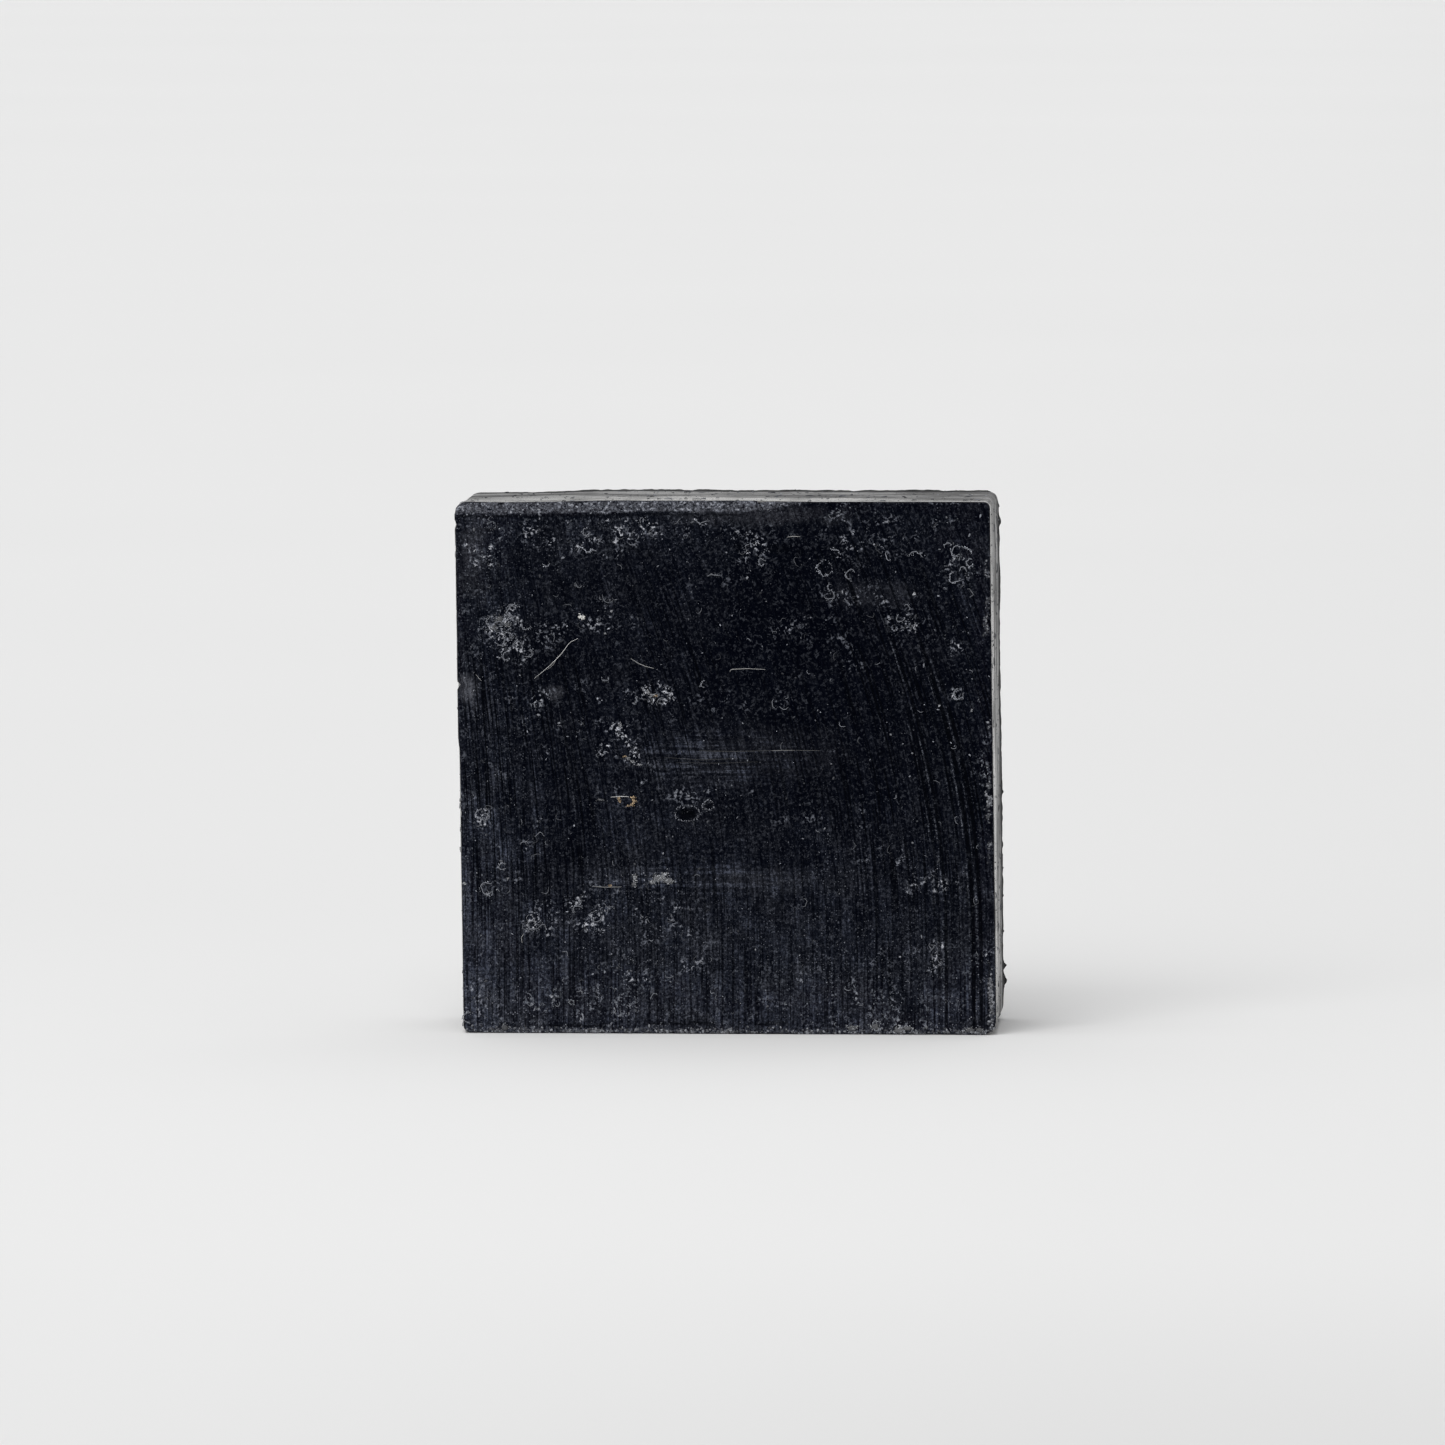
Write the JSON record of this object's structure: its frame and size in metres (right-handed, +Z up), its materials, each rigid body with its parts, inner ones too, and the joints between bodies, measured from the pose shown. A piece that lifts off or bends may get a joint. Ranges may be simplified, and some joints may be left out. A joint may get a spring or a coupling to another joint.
{
  "type": "charcoal block",
  "caption": "Square hand-cut block of pressed black charcoal standing on edge, with flat cut faces, leaning sides, worn corners and one planed front arris.",
  "frame": {"origin": "bottom centre of the bounding box, on the surface that the block stands on", "axes": "+X to the right across the cut front face, +Y through the depth from the front face to the back face, +Z up"},
  "size_m": [0.0658, 0.025, 0.065],
  "materials": {
    "charcoal": "matte"
  },
  "bodies": {
    "root": {"charcoal_block": "charcoal"}
  },
  "joints": []
}
